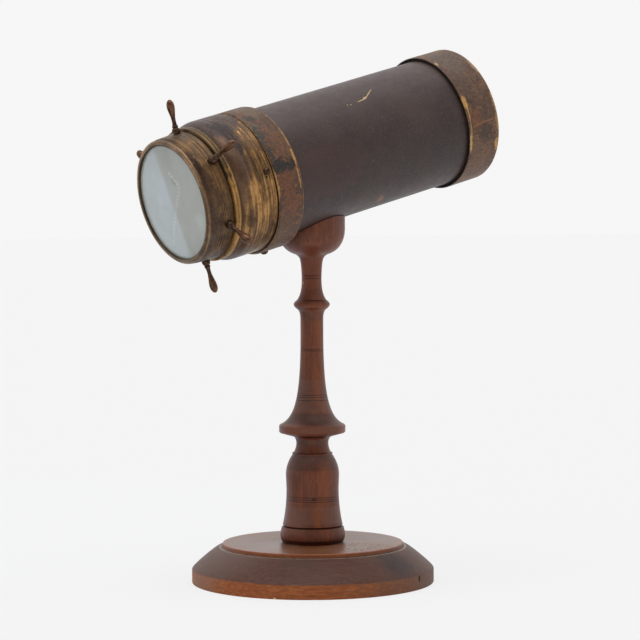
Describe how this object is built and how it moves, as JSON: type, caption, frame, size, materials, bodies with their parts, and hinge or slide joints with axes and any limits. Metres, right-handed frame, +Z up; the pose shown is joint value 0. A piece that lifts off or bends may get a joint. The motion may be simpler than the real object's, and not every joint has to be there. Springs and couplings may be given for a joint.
{
  "type": "kaleidoscope",
  "caption": "Parlour kaleidoscope on a turned wooden stand: a covered barrel with a brass object case turned by small spoke handles, and a cap with an eyehole.",
  "frame": {"origin": "centre of the round base's underside, on the surface that it stands on", "axes": "+Z up. The barrel lies in the XZ plane, with the object case towards -X and down, and the eye end towards +X and up."},
  "size_m": [0.2379, 0.1524, 0.3381],
  "materials": {
    "base_walnut": "worn varnish on turned walnut, with a dusty top",
    "column_walnut": "reddish varnish, turned, with darker stains under the cup and the disc",
    "pasteboard": "rolled pasteboard, bare",
    "dark_covering": "very dark brown grained covering, dull, with a few scratches",
    "worn_leather": "brown leather over pasteboard, worn pale at its edges",
    "cap_leather": "brown leather over pasteboard, worn pale at its edges",
    "collar_brass": "spun brass with fine turned lines, half tarnished brown",
    "case_brass": "tarnished brass",
    "bezel_brass": "brass worn bright on its edge",
    "spoke_brass": "dark tarnished turned brass",
    "dark_steel": "blackened steel",
    "mirror_silver": "silvered glass",
    "black_card": "dull black card",
    "former_wood": "bare softwood",
    "ground_glass": "finely ground on its inner side",
    "clear_glass": "polished",
    "cane_glass": "clear twisted rod",
    "red_glass": "sealed tube of red liquid",
    "blue_glass": "sealed tube of blue liquid",
    "amber_glass": "sealed tube of amber liquid",
    "bead_green": "glass bead",
    "bead_yellow": "glass bead",
    "bead_violet": "glass bead",
    "shard_teal": "cut coloured glass",
    "shard_red": "cut coloured glass",
    "shard_blue": "cut coloured glass",
    "shard_green": "cut coloured glass"
  },
  "bodies": {
    "stand": {"stand_base": "base_walnut", "stand_column": "column_walnut", "saddle_screw_front": "dark_steel", "saddle_screw_rear": "dark_steel", "barrel_tube": "pasteboard", "barrel_covering": "dark_covering", "front_band": "worn_leather", "band_pin": "dark_steel", "collar": "collar_brass", "collar_liner": "pasteboard", "collar_screw_1": "dark_steel", "collar_screw_2": "dark_steel", "collar_screw_3": "dark_steel", "mirror_left": "mirror_silver", "mirror_right": "mirror_silver", "mirror_cover": "black_card", "mirror_former_front": "former_wood", "mirror_former_rear": "former_wood"},
    "eye_cap": {"cap_skirt": "cap_leather", "cap_lining": "pasteboard", "eye_disc": "black_card", "eye_glass": "clear_glass", "eye_glass_keeper": "black_card", "eyelet": "collar_brass"},
    "object_case": {"case_drum": "case_brass", "bezel_ring": "bezel_brass", "front_glass": "ground_glass", "cell_spacer": "black_card", "inner_glass": "clear_glass", "keeper_ring": "case_brass", "spoke_1": "spoke_brass", "spoke_2": "spoke_brass", "spoke_3": "spoke_brass", "spoke_4": "spoke_brass", "spoke_5": "spoke_brass", "spoke_6": "spoke_brass"},
    "loose_glass": {"glass_cane": "cane_glass", "ampoule_1": "red_glass", "ampoule_2": "blue_glass", "ampoule_3": "amber_glass", "bead_1": "bead_green", "bead_2": "bead_yellow", "bead_3": "bead_violet", "shard_1": "shard_teal", "shard_2": "shard_red", "shard_3": "shard_blue", "shard_4": "shard_green"}
  },
  "joints": [
    {"name": "case_spin", "type": "hinge", "parent": "stand", "child": "object_case", "pos_m": [0, 0, 0.26543], "axis": [0.9662, 0, 0.258], "continuous": true},
    {"name": "glass_tumble", "type": "hinge", "parent": "stand", "child": "loose_glass", "pos_m": [0, 0, 0.26543], "axis": [0.9662, 0, 0.258], "continuous": true},
    {"name": "eye_cap_pull", "type": "slide", "parent": "stand", "child": "eye_cap", "axis": [0.9662, 0, 0.258], "range_m": [0, 0.02]}
  ]
}
